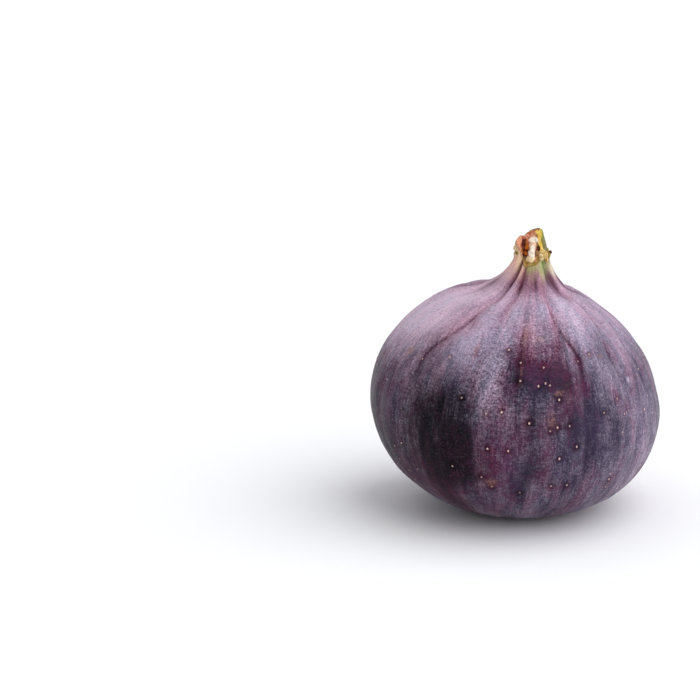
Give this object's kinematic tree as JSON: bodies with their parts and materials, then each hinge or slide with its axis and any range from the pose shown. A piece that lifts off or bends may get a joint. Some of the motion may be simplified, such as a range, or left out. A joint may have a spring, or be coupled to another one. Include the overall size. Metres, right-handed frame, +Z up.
{
  "type": "whole fresh fig",
  "caption": "Squat pear-shaped fresh fruit with a ribbed skin, a short cut stalk and a scaly eye in its flat base.",
  "frame": {"origin": "middle of the underside, on the surface that the fig stands on", "axes": "+Z up through the stalk; -Y is the front, where the stalk's cut faces; +X is to the right"},
  "size_m": [0.0569, 0.0564, 0.0555],
  "materials": {
    "skin": "dark purple skin with a waxy grey bloom, reddish in the grooves"
  },
  "bodies": {
    "root": {"fig": "skin"}
  },
  "joints": []
}
